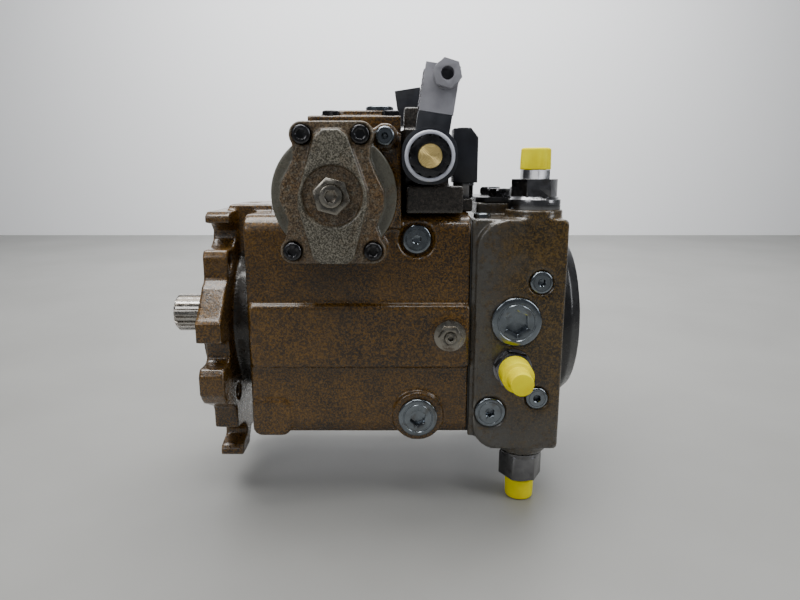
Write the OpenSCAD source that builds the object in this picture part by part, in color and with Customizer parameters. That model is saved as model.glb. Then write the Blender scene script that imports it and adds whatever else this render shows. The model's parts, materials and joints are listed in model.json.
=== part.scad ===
// Axial piston pump, closed-circuit swashplate type, in millimetres.
// +X runs along the drive shaft from the flange to the port plate, +Z is up.
// The origin is where the shaft axis meets the flange's mounting face.

/* [Mounting flange] */
// Radius of the pilot spigot
pilot_r = 63.5; // [62:0.1:65]
// Height of the pilot spigot
pilot_h = 6.5; // [5:0.5:8]
// Thickness of the flange plate
flange_t = 20; // [18:1:22]
// Side of the square on which the four bolt holes lie
bolt_square = 114.5; // [112:0.5:116]
// Radius of a flange bolt hole
bolt_hole_r = 7.15; // [6.5:0.05:7.5]

/* [Drive shaft] */
// Outer radius of the input spline
spline_r = 17.3; // [16:0.1:18]
// Number of teeth of the input spline
spline_teeth = 21; // [16:1:24]
// How far the shaft stands in front of the mounting face
shaft_out = 48; // [44:1:52]

/* [Housing] */
// Rear face of the housing
housing_rear = 216; // [214:1:218]
// Half the width of the housing
housing_half = 81; // [79:1:83]
// Top face of the housing
housing_top = 96; // [94:1:97]
// Bottom face of the housing
housing_bottom = -88.5; // [-90:0.5:-85]
// Radius of the cavity that the rotating group turns in
cavity_r = 60; // [59:0.5:61]

/* [Port plate] */
// Length of the port plate along the shaft
plate_len = 75; // [72:1:78]
// Half the width of the port plate
plate_half = 85; // [84:0.5:87]
// Top face of the port plate
plate_top = 93; // [92:0.5:96]
// Bottom face of the port plate
plate_bottom = -98.5; // [-99:0.5:-95]
// Radius of a high-pressure port
port_r = 12.5; // [11:0.5:13]
// Bolt spacing of a high-pressure port along X
port_bolt_x = 27.76; // [27:0.01:28]
// Bolt spacing of a high-pressure port along Y
port_bolt_y = 57.15; // [56:0.01:58]

/* [Rotating group] */
// Number of pistons
piston_count = 9; // [9:1:9]
// Radius of the circle of piston bores
pitch_r = 37; // [36:0.5:38]
// Radius of a piston bore
bore_r = 9.5; // [9:0.1:10]
// Radius of the cylinder block
block_r = 52; // [51:0.5:53]
// Plane of the piston balls, which is also the swashplate's pivot axis
pivot_x = 72; // [71:0.5:73]

/* [Stroking cylinder] */
// Place of the cylinder's axis along X
servo_x = 111.5; // [110:0.5:113]
// Height of the cylinder's axis
servo_z = 112; // [111:0.5:113]
// Outer radius of the cylinder
servo_r = 46.5; // [45:0.5:48]
// Radius of the stroking piston's bore
servo_bore_r = 30; // [29:0.5:31]

/* [Control valve] */
// Place of the spool's axis along X
spool_x = 181.5; // [180:0.5:183]
// Height of the spool's axis
spool_z = 140; // [139:0.5:141]

/* [Boost pump] */
// Distance between the axes of the two boost rotors
boost_e = 3; // [2.5:0.1:3.2]
// Radius of the circle on which the outer rotor's lobes lie
boost_R = 26; // [25.5:0.1:26.5]
// Radius of a lobe of the outer rotor
boost_lobe_r = 7; // [6.8:0.1:7.2]

/* [Hidden] */
$fn = 48;
eps = 0.02;
// Clearance of a running fit, of a loose fit, and between a thread and its hole
run = 0.05;
loose = 0.3;
thread_gap = 0.1;

// Along the shaft
bearing_x = 9;
bearing_len = 18;
bearing_bore_r = 36;
cavity_x = 30;
neck_x = 37;
neck_r = 66;
gasket_t = 1;
plate_x = housing_rear + gasket_t;
plate_rear = plate_x + plate_len;
corner_x = 242.3;
corner_r = 21.6;
lower_corner_z = -77.5;
upper_corner_z = 70;
boost_len = 18;
boost_rotor_len = 12;
shaft_r = 17.5;
seat_r = 20;
rear_shaft_r = 15;
rear_cup_r = 24;
rear_cup_x = 223;

// Swashplate and lever
swash_face = pivot_x - 9;
swash_back = swash_face - 7;
swash_r = 50;
swash_hole_r = 26;
cradle_r = 36;
cradle_in = 24;
cradle_out = 46;
shell_t = 1.5;
shell_end = 44;
lever_z = 53.5;
lever_t = 5.5;
lever_half = 8;
pin_r = 6;

// Cylinder block and pistons
block_front = 112;
block_rear = 211.4;
bore_end = 196;
ball_r = 7;
neck_pin_r = 4.8;
piston_front = pivot_x + 16;
piston_end = 165;
slipper_r = 10.5;
sole_r = 12;
socket_gap = 1.6;
guide_ball_r = 22;
retaining_r = 51;

// Stroking cylinder
servo_half = 95;
servo_piston_half = 48;
cover_plate_y = servo_half + 9;
cover_face_y = cover_plate_y + 8;
rib_face_y = cover_face_y + 4;
pocket_r = 22;
ear_r = 9.5;
servo_ears = [[-21, 43], [20.5, 43], [-30, -40], [29, -40]];
adjuster_r = 8;
m8_r = 4;
m8_head_r = 6.6;

// Control valve and solenoids
valve_floor = 97.3;
coil_y = 62;
coil_len = 46;
coil_half = 20;
spool_r = 8;
armature_r = 10;
nut_r = 15;
ring_r = 18;
disc_r = 8.4;

// Screws: those of the port plate and the boost cover at [y, z], the upper ones at [x, y]
plate_screws = [for (y = [-70, 70], z = [80, -82]) [y, z]];
boost_screws = [for (a = [30:60:330]) [60 * cos(a), 60 * sin(a)]];
valve_screws = [for (x = [170, 201], y = [-54, 54]) [x, y]];
block_screws = [for (x = [107, 153], y = [-70, 70]) [x, y]];
cutoff_x = 212.7;
cutoff_y = -45.5;
lid_half = 78.9;
lid_top = 171;
pad_top = 176;

// Screw plugs: [along X, height, head radius, shank radius, face's distance from the shaft plane]
housing_front_plugs = [[173.4, 77, 11.5, 9, 76], [175, -69.5, 16, 12, 84.5]];
plate_front_plugs = [[234.7, -65.8, 12.5, 9.5, 82], [272.4, 43.4, 9, 6.5, 82], [273, -53.5, 9, 6.5, 82]];
pressure_tap = [149, 155, 7, 5, 92.1];
// Plugs in top faces: [x, y, face, head radius, shank radius]
top_plugs = [[144, -54, pad_top, 11, 8], [103, -50, lid_top, 6, 4.5], [227, -60, plate_top, 7, 5]];
relief_x = 253.5;
relief_z = 11.5;
relief_bore_r = 14;
neutral_x = 200.2;
neutral_z = 0.4;
neutral_r = 4.5;
pad_face = 85;

// Fittings
front_fit = [251.5, -26.5];
top_fit = [268, -62];
bottom_fit = [266, -62];
boss_top = 100;
port_x = 260;
port_bolts = [for (x = [-1, 1], y = [-1, 1]) [port_x + x * port_bolt_x / 2, y * port_bolt_y / 2]];
port_face = 103.7;
port_pad_half = 39;
cover_t = 4.5;

// ---------------------------------------------------------------- helpers

// A sketch in the plane of Y and Z, extruded along +X
module along_x(x, len) {
    translate([x, 0, 0]) rotate([90, 0, 90]) linear_extrude(len) children();
}

// A sketch in the plane of X and Z, extruded towards -Y
module along_front(y, len) {
    translate([0, y, 0]) rotate([90, 0, 0]) linear_extrude(len) children();
}

// A profile of radius and X, turned about the shaft axis
module turn_x() {
    rotate([0, 90, 0]) rotate_extrude() children();
}

// A profile of radius and height, turned about an axis that runs towards -Y
module turn_front(x, z) {
    translate([x, 0, z]) rotate([90, 0, 0]) rotate_extrude() children();
}

module rod_x(x, len, r, y = 0, z = 0) {
    translate([x, y, z]) rotate([0, 90, 0]) cylinder(h = len, r = r);
}

module rod_front(x, z, y, len, r) {
    translate([x, y, z]) rotate([90, 0, 0]) cylinder(h = len, r = r);
}

module rod_z(x, y, z, len, r) {
    translate([x, y, z]) cylinder(h = len, r = r);
}

// Hexagons: af is the size across the flats
module hex_front(x, z, y, len, af, turned = 0) {
    translate([x, y, z]) rotate([90, turned, 0]) cylinder(h = len, r = af / sqrt(3), $fn = 6);
}

module hex_z(x, y, z, len, af, turned = 0) {
    translate([x, y, z]) rotate([0, 0, turned]) cylinder(h = len, r = af / sqrt(3), $fn = 6);
}

module block(low, high) {
    translate(low) cube(high - low);
}

// A rectangle with round corners, in its plane
module round_rect(low, high, r) {
    translate([low[0] + r, low[1]]) square([high[0] - low[0] - 2 * r, high[1] - low[1]]);
    translate([low[0], low[1] + r]) square([high[0] - low[0], high[1] - low[1] - 2 * r]);
    for (x = [low[0] + r, high[0] - r], y = [low[1] + r, high[1] - r]) {
        translate([x, y]) circle(r);
    }
}

// Both sides, front and back
module both_sides() {
    children();
    mirror([0, 1, 0]) children();
}

// A closed helical tube along Z, from z = 0 to z = len
function coil_rings_points(r, wire, len, turns, per_turn, sides) = [
    for (i = [0:turns * per_turn], k = [0:sides - 1])
    let (t = i / (turns * per_turn), a = 360 * turns * t, b = 360 / sides * k)
    [(r + wire * cos(b)) * cos(a), (r + wire * cos(b)) * sin(a), wire + (len - 2 * wire) * t + wire * sin(b)]
];

function coil_faces(rings, sides) = concat(
    [[for (k = [0:sides - 1]) k]],
    [for (i = [0:rings - 2], k = [0:sides - 1])
        [i * sides + k, (i + 1) * sides + k, i * sides + (k + 1) % sides]],
    [for (i = [0:rings - 2], k = [0:sides - 1])
        [i * sides + (k + 1) % sides, (i + 1) * sides + k, (i + 1) * sides + (k + 1) % sides]],
    [[for (k = [sides - 1:-1:0]) (rings - 1) * sides + k]]
);

module coil_spring(r, wire, len, turns) {
    per_turn = 14;
    sides = 6;
    polyhedron(points = coil_rings_points(r, wire, len, turns, per_turn, sides),
               faces = coil_faces(turns * per_turn + 1, sides), convexity = 10);
}

// Outline of a toothed shaft end
function spline_points(teeth, tip, root) = [
    for (i = [0:teeth - 1], k = [0:3])
    let (a = 360 / teeth * (i + [-0.34, -0.17, 0.17, 0.34][k]), r = (k == 1 || k == 2) ? tip : root)
    [r * cos(a), r * sin(a)]
];

// A hexagon-socket cap screw along X, its head's top at x and its shank towards -X
module cap_screw_x(x, y, z, shank, head_r, len) {
    head_h = 2 * shank;
    difference() {
        rod_x(x - head_h, head_h, head_r, y, z);
        translate([x - shank, y, z]) rotate([0, 90, 0]) cylinder(h = 2 * shank, r = shank, $fn = 6);
    }
    rod_x(x - head_h - len, len + eps, shank, y, z);
}

// The same along Y, with the head towards -Y and its top at y
module cap_screw_front(x, z, y, shank, head_r, len) {
    head_h = 2 * shank;
    difference() {
        rod_front(x, z, y + head_h, head_h, head_r);
        hex_front(x, z, y + shank, 2 * shank, 1.7 * shank);
    }
    rod_front(x, z, y + head_h + len, len + eps, shank);
}

// A screw plug with a flat head and a hexagon socket, facing -Y
module plug_front(p) {
    head = 3.5;
    shank_len = 12;
    difference() {
        union() {
            rod_front(p[0], p[1], -p[4], head, p[2]);
            rod_front(p[0], p[1], -p[4] + shank_len, shank_len + eps, p[3] - thread_gap);
        }
        hex_front(p[0], p[1], -p[4] + shank_len / 2, shank_len + head, p[2] * 0.78);
    }
}

module plug_hole_front(p) {
    rod_front(p[0], p[1], -p[4] + 13, 14, p[3]);
}

// ---------------------------------------------------------------- housing

// Half of the flange's outline, on the -Y side, with notches between its lobes
module flange_half() {
    polygon([[eps, 97], [-50, 97], [-56, 94], [-57, 88], [-42, 86], [-36, 80], [-37, 73], [-46, 67],
             [-66, 67], [-69, 61],
             [-69, 43], [-76, 38], [-94, 17], [-98, 13], [-98, -3], [-77, -6], [-75.5, -10],
             [-75.5, -22], [-79, -25], [-94, -25], [-98.5, -30], [-98.5, -46], [-92, -55], [-66, -68],
             [-64.5, -88], [-44, -92], [-36, -100], [-36, -106], [-50, -110], [-54, -114], [-54, -119],
             [-30, -119], [-20, -106], [eps, -106]]);
}

module flange_outline() {
    flange_half();
    mirror([1, 0]) flange_half();
}

module flange_holes() {
    for (y = [-1, 1], z = [-1, 1]) {
        rod_x(-1, flange_t + 12, bolt_hole_r, y * bolt_square / 2, z * bolt_square / 2);
    }
}

module servo_ear_outline() {
    for (e = servo_ears) {
        translate([servo_x + e[0], servo_z + e[1]]) circle(ear_r);
    }
    translate([servo_x, servo_z])
        polygon([[-21, 52.5], [20.5, 52.5], [40, -5], [29, -49.5], [-30, -49.5], [-40, -5]]);
}

module servo_casting() {
    rod_front(servo_x, servo_z, servo_half, 2 * servo_half, servo_r);
    both_sides() along_front(-servo_half + 16, 16) servo_ear_outline();
    block([92, -86, housing_top - 10], [161, 86, 158]);
    both_sides() rod_front(pressure_tap[0], pressure_tap[1], -80, 12, 9.6);
}

module housing_body() {
    along_x(neck_x, housing_rear - neck_x)
        round_rect([-housing_half, housing_bottom], [housing_half, housing_top], 14);
    both_sides() {
        along_front(-housing_half + 5, pad_face - housing_half + 5)
            round_rect([neck_x + 2, -27], [housing_rear, 25], 3);
        along_front(-housing_half + 5, 6.5) round_rect([neck_x, housing_bottom + 0.5], [69, -56.5], 8);
        rod_front(neutral_x, neutral_z, -70, pad_face - 69, 15);
        rod_front(housing_front_plugs[1][0], housing_front_plugs[1][1], -70, 14.5, 21);
    }
    rod_x(flange_t - eps, neck_x - flange_t + 2, neck_r);
    block([14, -34, 60], [50, 34, 102]);
    block([163, -62, 90], [housing_rear, 62, valve_floor - 0.1]);
}

module cradle_saddles() {
    for (s = [-1, 1]) {
        z = s > 0 ? cradle_in : -cradle_out;
        difference() {
            block([cavity_x - 2, -30, z], [shell_end, 30, z + cradle_out - cradle_in]);
            rod_z(pivot_x, 0, z - 1, 24, cradle_r + shell_t + 0.2);
        }
    }
}

module housing() {
    color("saddlebrown") {
        difference() {
            union() {
                housing_body();
                servo_casting();
                along_x(0, flange_t) flange_outline();
                rod_x(-pilot_h, pilot_h + 1, pilot_r);
            }
            rod_x(cavity_x, housing_rear, cavity_r);
            rod_x(-pilot_h - 1, bearing_x + bearing_len + pilot_h + 1, bearing_bore_r);
            rod_x(0, cavity_x + 1, bearing_bore_r - 4);
            rod_x(-5, 2, bearing_bore_r + 2);
            flange_holes();
            block([swash_back - 5, -24, 45], [servo_x + 16, 24, 63]);
            block([servo_x - 10, -18, 55], [servo_x + 10, 18, servo_z - 15]);
            rod_front(servo_x, servo_z, servo_half + 1, 2 * servo_half + 2, servo_bore_r);
            both_sides() for (e = servo_ears) {
                rod_front(servo_x + e[0], servo_z + e[1], -servo_half + 18, 20, m8_r + thread_gap);
            }
            // The upper plug lies in a counterbore, the lower one on a boss
            rod_front(housing_front_plugs[0][0], housing_front_plugs[0][1], -76, 10, 14.2);
            for (p = housing_front_plugs) plug_hole_front(p);
            rod_front(neutral_x, neutral_z, -50, 40, neutral_r + thread_gap);
            rod_front(pressure_tap[0], pressure_tap[1], -80, 15, pressure_tap[3]);
            // Screws of the port plate, lifting eye, and screws of the valve body
            for (p = plate_screws) rod_x(housing_rear - 29, 30, 6.1, p[0], p[1]);
            rod_z(28, 0, 84, 20, 5.1);
            for (p = valve_screws) rod_z(p[0], p[1], 80, 20, m8_r + thread_gap);
            for (p = block_screws) rod_z(p[0], p[1], 146, 14, m8_r + thread_gap);
        }
        cradle_saddles();
    }
}

// ---------------------------------------------------------------- port plate and boost pump

// The plate's front edge seen from the side, with its lower corner rounded off
module port_plate_outline() {
    difference() {
        round_rect([plate_x, plate_bottom], [plate_rear, plate_top], 4);
        difference() {
            translate([plate_x - 1, plate_bottom - 1]) square([corner_x - plate_x + 1, 11]);
            translate([corner_x, lower_corner_z]) circle(corner_r);
        }
    }
}

// The ledge next to the housing, left where the raised face ends in two round corners
module plate_ledge() {
    face_x = corner_x - corner_r;
    difference() {
        translate([plate_x - 1, plate_bottom - 2])
            square([corner_x - plate_x + 1, plate_top - plate_bottom + 4]);
        translate([face_x, lower_corner_z]) square([40, upper_corner_z - lower_corner_z]);
        for (z = [lower_corner_z, upper_corner_z]) translate([corner_x, z]) circle(corner_r);
    }
}

module port_plate() {
    channel_half = 14;
    color("sienna") difference() {
        union() {
            difference() {
                along_front(plate_half, 2 * plate_half) port_plate_outline();
                both_sides() along_front(-plate_half + 4, 5) plate_ledge();
            }
            rod_z(top_fit[0], top_fit[1], plate_top - 14, boss_top - plate_top + 14, 22.8);
            rod_z(bottom_fit[0], bottom_fit[1], -103.5, 12, 21.7);
            translate([bottom_fit[0], bottom_fit[1], -107]) cylinder(h = 4, r1 = 18.5, r2 = 21.7);
            block([225, -port_pad_half, plate_top - 1], [plate_rear, port_pad_half, port_face]);
            block([225, -port_pad_half, -port_face], [plate_rear, port_pad_half, plate_bottom + 1]);
        }
        rod_x(plate_x - 1, plate_len + 2, rear_shaft_r + 1);
        rod_x(plate_x - 1, 24 + rear_cup_x - plate_x, rear_cup_r);
        for (s = [-1, 1]) {
            block([plate_x - 1, -channel_half, s > 0 ? 31 : -43],
                  [port_x + 6, channel_half, s > 0 ? 43 : -31]);
            rod_z(port_x, 0, s > 0 ? 31 : -port_face - 1, port_face - 30, port_r);
            for (p = port_bolts) rod_z(p[0], p[1], s > 0 ? port_face - 24 : -port_face - 1, 25, 6.1);
        }
        both_sides() {
            rod_front(relief_x, relief_z, -40, 50, relief_bore_r);
            rod_front(relief_x, relief_z, -plate_half + 1, 4, 20.2);
            rod_front(relief_x, relief_z, -plate_half + 4.2, 4, 18.1);
        }
        for (p = plate_front_plugs) {
            plug_hole_front(p);
            rod_front(p[0], p[1], -p[4], 6, p[2] + 1.2);
        }
        rod_front(front_fit[0], front_fit[1], -plate_half + 14, 20, 10.1);
        rod_z(top_fit[0], top_fit[1], 90.9, 16, 13.1);
        rod_z(bottom_fit[0], bottom_fit[1], -109, 16, 13.1);
        rod_z(top_plugs[2][0], top_plugs[2][1], plate_top - 12, 20, top_plugs[2][4]);
        for (p = plate_screws) {
            rod_x(plate_x - 1, plate_len + 2, 6.4, p[0], p[1]);
            rod_x(plate_rear - 13, 14, 10.5, p[0], p[1]);
        }
        for (p = boost_screws) rod_x(plate_rear - 16, 17, m8_r + thread_gap, p[0], p[1]);
    }
}

function boost_psi(t, n) = atan2(sin((1 - n) * t), boost_R / (boost_e * n) - cos((1 - n) * t));
function boost_profile(n) = [
    for (i = [0:179])
    let (t = 2 * i - 9 * sin(12 * i), q = boost_psi(t, n))
    [boost_R * cos(t) - boost_lobe_r * cos(t + q) - boost_e * cos(n * t),
     -boost_R * sin(t) + boost_lobe_r * sin(t + q) + boost_e * sin(n * t)]
];
outer_lobes = 7;
outer_rotor_r = 35;

module boost_rotor_inner() {
    color("gray") along_x(plate_rear + 0.1, boost_rotor_len - 0.2) difference() {
        polygon(boost_profile(outer_lobes));
        circle(12);
    }
}

module boost_rotor_outer() {
    color("dimgray") along_x(plate_rear + 0.1, boost_rotor_len - 0.2) translate([-boost_e, 0]) {
        difference() {
            circle(outer_rotor_r - 0.08);
            difference() {
                circle(boost_R);
                for (i = [0:outer_lobes - 1]) {
                    rotate(360 / outer_lobes * i) translate([boost_R, 0]) circle(boost_lobe_r - 0.15);
                }
            }
        }
    }
}

module boost_cover() {
    cover_r = 75;
    color("black") difference() {
        turn_x() polygon([[0, plate_rear], [cover_r, plate_rear], [cover_r, plate_rear + 9],
                          [cover_r - 7, plate_rear + boost_len], [0, plate_rear + boost_len]]);
        rod_x(plate_rear - 1, boost_rotor_len + 1, outer_rotor_r, -boost_e, 0);
        for (p = boost_screws) {
            rod_x(plate_rear - 1, 30, m8_r + loose, p[0], p[1]);
            rod_x(plate_rear + 6, 20, m8_head_r + 0.5, p[0], p[1]);
        }
    }
}

module port_covers() {
    color("black") for (s = [-1, 1]) {
        difference() {
            translate([0, 0, s > 0 ? port_face : -port_face - cover_t])
                linear_extrude(cover_t) round_rect([225, -port_pad_half], [296, port_pad_half], 10);
            for (p = port_bolts) rod_z(p[0], p[1], s > 0 ? 100 : -112, 12, 6.4);
        }
    }
}

module port_cover_bolts() {
    bolt_head = 7;
    color("black") for (m = [0, 1]) mirror([0, 0, m]) for (p = port_bolts) {
        hex_z(p[0], p[1], port_face + cover_t, bolt_head, 18, p[0] + p[1]);
        rod_z(p[0], p[1], port_face - 20, 20 + cover_t + eps, 6);
    }
}

// ---------------------------------------------------------------- seals, screws and plugs

module seals() {
    color("dimgray") {
        along_x(housing_rear, gasket_t) difference() {
            round_rect([-housing_half + 0.5, housing_bottom + 0.5],
                       [housing_half - 0.5, plate_top - 0.5], 13);
            circle(cavity_r + 1);
            for (p = plate_screws) translate(p) circle(6.6);
        }
        both_sides() {
            turn_front(servo_x, servo_z)
                translate([servo_bore_r - 2.2, servo_half - 3]) circle(1.6, $fn = 20);
            turn_front(relief_x, relief_z) translate([16.5, plate_half - 2.6]) circle(1.5, $fn = 20);
        }
    }
}

module socket_screws() {
    color("black") {
        both_sides() for (e = servo_ears) {
            cap_screw_front(servo_x + e[0], servo_z + e[1], -cover_face_y - 4.5, m8_r, m8_head_r, 25);
        }
        for (p = plate_screws) cap_screw_x(plate_rear - 1, p[0], p[1], 6, 9.5, 90);
        for (p = boost_screws) cap_screw_x(plate_rear + 14.2, p[0], p[1], m8_r, m8_head_r, 20);
        for (p = valve_screws) cap_screw_z(p[0], p[1], valve_floor + 16.2);
        for (p = block_screws) cap_screw_z(p[0], p[1], lid_top + 4);
    }
}

module cap_screw_z(x, y, z) {
    head_h = 2 * m8_r;
    difference() {
        rod_z(x, y, z - head_h, head_h, m8_head_r);
        hex_z(x, y, z - m8_r, 2 * m8_r, 1.7 * m8_r);
    }
    rod_z(x, y, z - head_h - 20, 20 + eps, m8_r);
}

module blanking_plugs() {
    color("silver") {
        for (p = concat(housing_front_plugs, plate_front_plugs)) plug_front(p);
        plug_front(pressure_tap);
        for (p = top_plugs) difference() {
            union() {
                rod_z(p[0], p[1], p[2], 3.5, p[3]);
                rod_z(p[0], p[1], p[2] - 9, 9 + eps, p[4] - thread_gap);
            }
            hex_z(p[0], p[1], p[2] - 4, 12, p[3]);
        }
    }
}

module relief_plugs() {
    color("silver") both_sides() difference() {
        union() {
            rod_front(relief_x, relief_z, -plate_half + 1, 3.5, 20);
            rod_front(relief_x, relief_z, -plate_half + 22, 22, relief_bore_r - thread_gap);
        }
        hex_front(relief_x, relief_z, -plate_half + 9, 20, 19);
        rod_front(relief_x, relief_z, -plate_half + 23, 12, 9);
    }
}

// Poppet of a high-pressure relief valve: its seat end points to the middle of the plate
module relief_poppet(side) {
    color("lightgray") mirror([0, side > 0 ? 1 : 0, 0]) turn_front(relief_x, relief_z)
        polygon([[0, 41], [4, 41], [9, 47], [9, 58], [6, 58], [6, 50], [0, 50]]);
}

module relief_poppet_front() {
    relief_poppet(-1);
}

module relief_poppet_rear() {
    relief_poppet(1);
}

module relief_springs() {
    color("gray") both_sides() translate([relief_x, -50, relief_z]) rotate([90, 0, 0])
        coil_spring(4.2, 1, 23.8, 5);
}

// ---------------------------------------------------------------- shaft and bearings

module drive_shaft() {
    tip_chamfer = 2.5;
    root_r = spline_r - 2.3;
    color("silver") {
        intersection() {
            along_x(-shaft_out, shaft_out - 6) polygon(spline_points(spline_teeth, spline_r, root_r));
            turn_x() polygon([[0, -shaft_out], [spline_r - tip_chamfer, -shaft_out],
                              [spline_r + 1, -shaft_out + tip_chamfer + 1], [spline_r + 1, 0], [0, 0]]);
        }
        turn_x() polygon([[0, -6.5], [seat_r - 1, -6.5], [seat_r, -5.5], [seat_r, 28], [23, 28], [23, 33],
                          [shaft_r, 34], [shaft_r, 206], [rear_shaft_r, 208],
                          [rear_shaft_r, plate_rear - 0.5], [12, plate_rear],
                          [12, plate_rear + boost_rotor_len - 1], [0, plate_rear + boost_rotor_len - 1]]);
    }
}

roller_tilt = atan(2 / 14);
module taper_roller(a) {
    rotate([a, 0, 0]) translate([bearing_x + 2, 0, 26.9]) rotate([0, 90 - roller_tilt, 0])
        cylinder(h = 14, r1 = 3, r2 = 3.6);
}

module bearing_rollers() {
    color("gainsboro") {
        for (i = [0:17]) taper_roller(20 * i);
        for (i = [0:13]) rotate([360 / 14 * i, 0, 0]) rod_x(rear_cup_x + 3, 16, 3, 0, rear_shaft_r + 3.05);
    }
}

module front_bearing_cone() {
    color("darkgray") turn_x() translate([0, bearing_x])
        polygon([[seat_r, 0.5], [25.4, 0.5], [25.4, 1.2], [23.7, 1.5], [25.24, 16.6], [28.3, 17],
                 [28.3, 18.5], [seat_r, 18.5]]);
}

module bearing_cups() {
    x = bearing_x;
    color("gray") {
        turn_x() polygon([[bearing_bore_r - run, x + 1], [30, x + 1], [30.1, x + 2], [32.85, x + 17],
                          [32.85, x + 18], [bearing_bore_r - run, x + 18]]);
        turn_x() translate([rear_shaft_r + 6.2, rear_cup_x])
            square([rear_cup_r - rear_shaft_r - 6.2 - run, 22]);
    }
}

module shaft_seal() {
    lip_r = seat_r + 0.15;
    rim_r = bearing_bore_r - run;
    color([0.2, 0.2, 0.2]) turn_x()
        polygon([[lip_r, 1], [22.5, -0.5], [rim_r, -1.5], [rim_r, 7], [rim_r - 2, 7], [rim_r - 3, 1.5],
                 [24.5, 2], [lip_r, 4]]);
}

module seal_circlip() {
    color("dimgray") along_x(-4.6, 1.4) difference() {
        circle(bearing_bore_r + 1.8);
        circle(bearing_bore_r - 3);
        translate([0, bearing_bore_r]) square([14, 12], center = true);
    }
}

module cylinder_block() {
    color("goldenrod") difference() {
        turn_x() polygon([[shaft_r + 7, block_front], [block_r, block_front], [block_r, block_rear],
                          [shaft_r + 0.1, block_rear], [shaft_r + 0.1, 150], [shaft_r + 7, 150]]);
        for (i = [0:piston_count - 1]) rotate([360 / piston_count * i, 0, 0]) {
            rod_x(block_front - 1, bore_end - block_front + 1, bore_r, pitch_r, 0);
            rod_x(bore_end - 1, block_rear - bore_end + 2, 5.5, pitch_r - 1, 0);
        }
    }
}

module valve_plate() {
    color("darkgoldenrod") along_x(block_rear + 0.05, plate_x - block_rear - 0.05) difference() {
        circle(block_r - 2);
        circle(rear_cup_r);
        for (s = [0, 180]) rotate(s) {
            intersection() {
                difference() {
                    circle(42);
                    circle(31);
                }
                polygon([[0, 0], [70, 28], [70, 70], [-70, 70], [-70, 28]]);
            }
        }
    }
}

// Centre of piston i, on the pitch circle: i = 0 lies on the +Y side
module piston(i) {
    color("lightsteelblue") rotate([360 / piston_count * i, 0, 0]) translate([0, pitch_r, 0]) difference() {
        union() {
            translate([pivot_x, 0, 0]) sphere(ball_r);
            rod_x(pivot_x, 14, neck_pin_r);
            translate([pivot_x + 12, 0, 0]) rotate([0, 90, 0])
                cylinder(h = 4 + eps, r1 = neck_pin_r, r2 = bore_r - run);
            rod_x(piston_front, piston_end - piston_front, bore_r - run);
        }
        rod_x(piston_front + 12, piston_end - piston_front, 5.5);
        rod_x(pivot_x - ball_r - 1, piston_front, 1);
    }
}

module piston_1() {
    piston(0);
}

module piston_2() {
    piston(1);
}

module piston_3() {
    piston(2);
}

module piston_4() {
    piston(3);
}

module piston_5() {
    piston(4);
}

module piston_6() {
    piston(5);
}

module piston_7() {
    piston(6);
}

module piston_8() {
    piston(7);
}

module piston_9() {
    piston(8);
}

module slippers() {
    sole_x = swash_face + run;
    color("khaki") for (i = [0:piston_count - 1]) {
        rotate([360 / piston_count * i, 0, 0]) translate([0, pitch_r, 0]) turn_x() difference() {
            polygon([[1.2, sole_x], [sole_r, sole_x], [sole_r, sole_x + 3], [slipper_r, sole_x + 3],
                     [slipper_r, sole_x + 13], [1.2, sole_x + 13]]);
            translate([0, pivot_x]) circle(ball_r + socket_gap);
        }
    }
}

module retaining_plate() {
    x = swash_face + 3.1;
    color("darkgray") difference() {
        rod_x(x, 2.5, retaining_r);
        rod_x(x - 1, 5, guide_ball_r + loose);
        for (i = [0:piston_count - 1]) {
            rotate([360 / piston_count * i, 0, 0]) rod_x(x - 1, 5, slipper_r + 0.4, pitch_r, 0);
        }
    }
}

module retaining_ball() {
    color("gray") difference() {
        union() {
            intersection() {
                translate([pivot_x, 0, 0]) sphere(guide_ball_r);
                block([pivot_x - 8, -30, -30], [pivot_x + 8, 30, 30]);
            }
            rod_x(pivot_x + 6, 8, guide_ball_r - 1.5);
        }
        rod_x(pivot_x - 20, 40, shaft_r + 0.2);
    }
}

module block_spring() {
    spring_x = pivot_x + 14;
    color("dimgray") translate([spring_x, 0, 0]) rotate([0, 90, 0]) coil_spring(21, 1.9, 150 - spring_x, 6);
}

// ---------------------------------------------------------------- swashplate and stroking cylinder

module swash_plate() {
    color("slategray") {
        difference() {
            union() {
                rod_x(swash_back, swash_face - swash_back, swash_r);
                for (z = [cradle_in, -cradle_out]) intersection() {
                    rod_z(pivot_x, 0, z, cradle_out - cradle_in, cradle_r);
                    block([pivot_x - cradle_r - 1, -30, z - 1], [swash_face, 30, z + 30]);
                }
            }
            rod_x(swash_back - 30, 60, swash_hole_r);
        }
        block([swash_back - 3, -lever_half, 40], [swash_face, lever_half, lever_z + lever_t]);
        block([swash_face - 2, -lever_half, lever_z], [servo_x + 4, lever_half, lever_z + lever_t]);
        rod_z(servo_x, 0, lever_z, servo_z + 2 - lever_z, pin_r);
    }
}

module cradle_bearings() {
    color("darkkhaki") for (z = [cradle_in + 0.5, -cradle_out + 0.5]) difference() {
        rod_z(pivot_x, 0, z, cradle_out - cradle_in - 1, cradle_r + shell_t + 0.15);
        rod_z(pivot_x, 0, z - 1, 30, cradle_r + 0.08);
        block([shell_end, -60, z - 1], [pivot_x + 60, 60, z + 30]);
    }
}

module servo_piston() {
    color("lightsteelblue") difference() {
        rod_front(servo_x, servo_z, servo_piston_half, 2 * servo_piston_half, servo_bore_r - run);
        block([servo_x - 8.4, -pin_r - 0.35, servo_z - 40], [servo_x + 8.4, pin_r + 0.35, servo_z + 6]);
        both_sides() {
            rod_front(servo_x, servo_z, -servo_piston_half + 20, 30, 25);
            for (y = [-servo_piston_half + 4, -servo_piston_half + 12]) turn_front(servo_x, servo_z)
                translate([servo_bore_r - 1.5, -y - 1]) square([4, 2]);
        }
    }
}

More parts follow.
